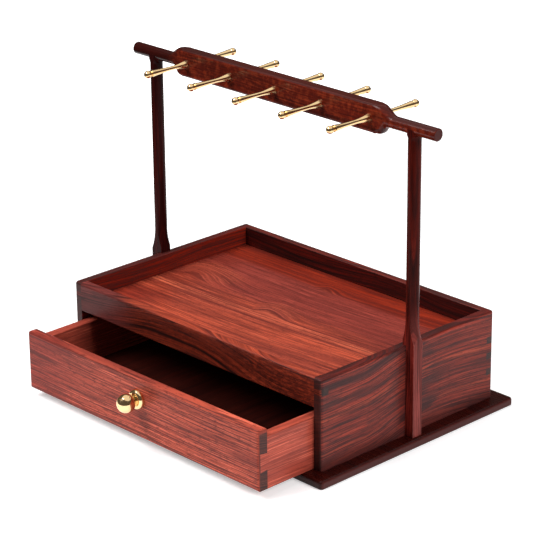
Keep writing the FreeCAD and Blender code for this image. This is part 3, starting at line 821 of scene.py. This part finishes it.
# Painted sheen: the foot's outer faces, which look to the right, turn greyish mauve.
OUTSIDE_TURN = (0.3, 0.7)
OUTSIDE_PAINTED_SHEEN = {
    "Pale": (0.250, 0.050, 0.042, 1),
    "Deep": (0.160, 0.034, 0.029, 1),
    "Vein": (0.060, 0.018, 0.016, 1),
}
HANGING_RAIL_WOOD = {
    "Pale": (0.115, 0.010, 0.004, 1),
    "Deep": (0.045, 0.004, 0.002, 1),
    "Vein": (0.020, 0.004, 0.003, 1),
    "End": (0.045, 0.008, 0.007, 1),
    "Veins": 0.3,
    "Lines": 0.3,
    "Streaks": 0.3,
}
MOTTLE_SCALE = 260.0
MOTTLE_DETAIL = 4.0
MOTTLE_FADE = (0.42, 0.66)
MOTTLE_TONES = {"Pale": (0.215, 0.025, 0.008, 1), "Deep": (0.105, 0.011, 0.004, 1)}
# Painted shade: the rail's top faces are darker than its front.
HANGING_RAIL_TOP_PAINTED_SHADE = {"Pale": (0.060, 0.006, 0.003, 1), "Deep": (0.028, 0.003, 0.002, 1)}
DARK_END = (-108.0, -125.0)
DARK_END_TONES = {"Pale": (0.040, 0.003, 0.002, 1), "Deep": (0.020, 0.002, 0.001, 1)}

post_finish, tree, figure = timber_finish(
    "post_wood", "Z", POST_WOOD, specular=0.045, rough=0.16
)
foot = smooth_step(tree, place_mm(tree)["Z"], *FOOT_TOP)
tone(tree, figure, foot, FOOT_TONES)
# Painted sheen on the foot's outer faces.
tone(tree, figure, overlap(tree, foot, facing(tree, RIGHT, OUTSIDE_TURN)), OUTSIDE_PAINTED_SHEEN)
dress("post_right", post_finish)

# The far post's wood carries painted shade.
far_post_painted_shade_finish, _, _ = timber_finish(
    "far_post_wood_painted_shade", "Z", FAR_POST_WOOD_PAINTED_SHADE, specular=0.05, rough=0.16
)
dress("post_left", far_post_painted_shade_finish)

hanging_rail_finish, tree, figure = timber_finish(
    "rail_wood", "X", HANGING_RAIL_WOOD, from_log=(0, 20, -200), specular=0.15, rough=0.12
)
mottle = node(
    tree,
    "TexNoise",
    {
        "Vector": node(tree, "TexCoord").outputs["Object"],
        "Scale": MOTTLE_SCALE,
        "Detail": MOTTLE_DETAIL,
    },
)
tone(tree, figure, smooth_step(tree, mottle.outputs["Fac"], *MOTTLE_FADE), MOTTLE_TONES)
# Painted shade on the rail's top faces.
paint_top_shade(tree, figure, HANGING_RAIL_TOP_PAINTED_SHADE)
tone(tree, figure, smooth_step(tree, place_mm(tree)["X"], *DARK_END), DARK_END_TONES)
dress("hanging_rail", hanging_rail_finish)


# ---- Drawer ----
# A dovetailed hardwood box with a pale, straight-grained front and paler sides, which slides
# on the plate. Its bottom, let into grooves, carries painted shade: it is nearly black inside
# the case. The front's pins show dark end grain between the sides' tails, and the tails stop
# short of its face.
FRONT_WOOD = {
    "Pale": (0.515, 0.087, 0.049, 1),
    "Deep": (0.240, 0.037, 0.026, 1),
    "Vein": (0.110, 0.022, 0.018, 1),
    "End": (0.260, 0.045, 0.030, 1),
    "Wander mm": 6.0,
    "Dense": 1.1,
    "Drift": 0.5,
    "Veins": 0.4,
    "Streaks": 0.5,
    "Lines": 0.9,
    "Glints": 0.9,
    "Pores": 0.6,
}
PINS_BELOW_TOP = (2.6, 4.0)  # the pins' dark end grain starts and is full this far down,
PINS_BEHIND_FACE = (0.8, 1.8)  # and this far behind the front's face
PIN_TONES = {"End": TAIL_END}
FRONT_LEFT = (-45.0, -130.0)  # the front darkens over this span
FRONT_LEFT_TONES = {"Pale": (0.370, 0.050, 0.032, 1), "Deep": (0.150, 0.020, 0.017, 1)}
DRAWER_WOOD = {
    "Pale": (0.520, 0.089, 0.052, 1),
    "Deep": (0.300, 0.044, 0.028, 1),
    "Vein": (0.150, 0.026, 0.018, 1),
    "Veins": 0.3,
    "Glints": 0.7,
}
# Painted shade: the bottom's red wood is made nearly black, for the shade inside the case.
BOTTOM_WOOD_PAINTED_SHADE = {
    "Pale": (0.055, 0.008, 0.005, 1),
    "Deep": (0.022, 0.004, 0.003, 1),
    "Vein": (0.010, 0.003, 0.003, 1),
}

front_finish, tree, figure = timber_finish(
    "drawer_front_wood", "X", FRONT_WOOD, from_log=(0, 0, 60), specular=0.12
)
front_box = nodes["drawer_front"].bound_box
front_top = max(corner[2] for corner in front_box) * MM_PER_M
front_face = min(corner[1] for corner in front_box) * MM_PER_M
place = place_mm(tree)
below = smooth_step(tree, place["Z"], *(front_top - drop for drop in PINS_BELOW_TOP))
behind = smooth_step(tree, place["Y"], *(front_face + gap for gap in PINS_BEHIND_FACE))
tone(tree, figure, overlap(tree, below, behind), PIN_TONES)
tone(tree, figure, smooth_step(tree, place["X"], *FRONT_LEFT), FRONT_LEFT_TONES)
dress("drawer_front", front_finish)

drawer_side_finish, _, _ = timber_finish("drawer_side_wood", "Y", DRAWER_WOOD, specular=0.18)
dress("drawer_side_left", drawer_side_finish)
dress("drawer_side_right", drawer_side_finish)
drawer_back_finish, _, _ = timber_finish("drawer_back_wood", "X", DRAWER_WOOD)
dress("drawer_back", drawer_back_finish)
# The bottom's wood carries painted shade.
drawer_bottom_painted_shade_finish, _, _ = timber_finish("drawer_bottom_wood", "Y", BOTTOM_WOOD_PAINTED_SHADE, specular=0.1)
dress("drawer_bottom", drawer_bottom_painted_shade_finish)


# ---- Brass ----
# The knob, its rose and the ten pegs are turned from brass bar and polished. The pegs are
# pressed into the hanging rail, and the knob is screwed on through the drawer front.
BRASS_PALE = (0.89, 0.64, 0.34, 1)
BRASS_DEEP = (0.84, 0.56, 0.27, 1)
BRASS_SPOTS = 90.0  # to the metre
BRASS_FADE = (0.35, 0.75)
BRASS_LEAST_ROUGH = 0.10
BRASS_SPOT_ROUGH = 0.04


def polish_metal():
    """A polish that is a little uneven in spots, and a mask of those spots."""
    group, given, result = new_group(
        "uneven_polish",
        [
            ("Place", "NodeSocketVector", None),
            ("Scale", "NodeSocketFloat", BRASS_SPOTS),
            ("Least rough", "NodeSocketFloat", BRASS_LEAST_ROUGH),
            ("Spots rough", "NodeSocketFloat", BRASS_SPOT_ROUGH),
        ],
        [
            ("Spots", "NodeSocketFloat"),
            ("Roughness", "NodeSocketFloat"),
        ],
    )
    g = given.outputs
    spots = node(group, "TexNoise", {"Vector": g["Place"], "Scale": g["Scale"]}).outputs["Fac"]
    rough = math_node(group, "MULTIPLY_ADD", spots, g["Spots rough"], g["Least rough"])
    group.links.new(spots, result.inputs["Spots"])
    group.links.new(rough, result.inputs["Roughness"])
    return group


UNEVEN_POLISH = polish_metal()


def metal_finish(name, colours, scale, least_rough, spots_rough, fade=None):
    """Bare polished metal of one colour, or of two where a fade between them is given."""
    finish, tree, out = new_finish(name)
    inputs = {
        "Place": node(tree, "TexCoord").outputs["Object"],
        "Scale": scale,
        "Least rough": least_rough,
        "Spots rough": spots_rough,
    }
    polish = node(tree, "Group", inputs, node_tree=UNEVEN_POLISH).outputs
    colour = colours[0]
    if fade:
        colour = blend_colours(tree, smooth_step(tree, polish["Spots"], *fade), *colours)
    metal = node(
        tree,
        "BsdfPrincipled",
        {"Base Color": colour, "Metallic": 1.0, "Roughness": polish["Roughness"]},
    )
    tree.links.new(metal.outputs[0], out.inputs["Surface"])
    return finish


brass = metal_finish(
    "polished_brass",
    (BRASS_PALE, BRASS_DEEP),
    BRASS_SPOTS,
    BRASS_LEAST_ROUGH,
    BRASS_SPOT_ROUGH,
    BRASS_FADE,
)
for name in nodes:
    if name.startswith("peg_") or name in ("knob", "knob_collar"):
        dress(name, brass)


# ---- Screws ----
# Plain steel screws: six up through the plate into the case, four from inside the case into
# the posts, and one from inside the drawer into the knob.
STEEL = (0.45, 0.45, 0.46, 1)
STEEL_SPOTS = 900.0
STEEL_LEAST_ROUGH = 0.25
STEEL_SPOT_ROUGH = 0.2

steel = metal_finish(
    "screw_steel", (STEEL,), STEEL_SPOTS, STEEL_LEAST_ROUGH, STEEL_SPOT_ROUGH
)
for name in ("knob_screw", "plate_screws", "post_screws"):
    dress(name, steel)
